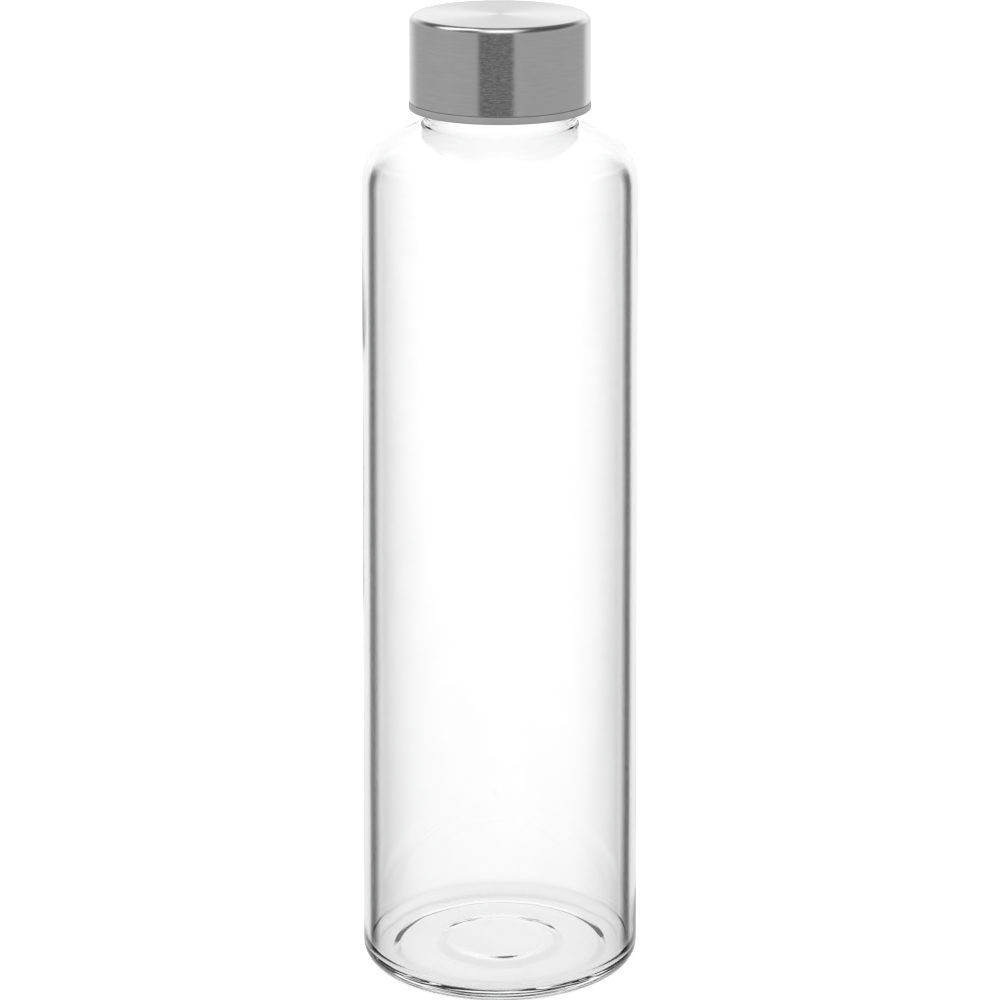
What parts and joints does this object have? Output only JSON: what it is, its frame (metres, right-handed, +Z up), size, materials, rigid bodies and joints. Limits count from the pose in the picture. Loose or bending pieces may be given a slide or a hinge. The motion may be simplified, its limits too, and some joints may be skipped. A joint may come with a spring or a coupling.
{
  "type": "water bottle",
  "caption": "Clear glass water bottle: straight cylindrical body, rolled shoulder, short wide neck and a metal-shelled screw cap with a soft seal.",
  "frame": {"origin": "centre of the base, on the plane the bottle stands on", "axes": "+Z up along the bottle axis, towards the cap; +X and +Y are square to it and the outside is the same all round"},
  "size_m": [0.065, 0.065, 0.226],
  "materials": {
    "clear_glass": "clear polished borosilicate glass",
    "brushed_metal": "brushed stainless steel",
    "insert_plastic": "satin grey polypropylene",
    "adhesive": "set hot-melt adhesive",
    "seal_silicone": "soft translucent silicone"
  },
  "bodies": {
    "bottle": {"glass_body": "clear_glass"},
    "seal": {"seal_ring": "seal_silicone"},
    "cap": {"cap_shell": "brushed_metal", "cap_insert": "insert_plastic", "shell_adhesive": "adhesive"}
  },
  "joints": [
    {"name": "cap_rise", "type": "slide", "parent": "bottle", "child": "seal", "axis": [0, 0, 1], "range_m": [0, 0.00885]},
    {"name": "cap_turn", "type": "hinge", "parent": "seal", "child": "cap", "pos_m": [0, 0, 0.2147], "axis": [0, 0, 1], "range_deg": [0, 750]}
  ],
  "couplings": [
    {"joint": "cap_rise", "follows": "cap_turn", "m_per_rad": 0.00067375}
  ]
}
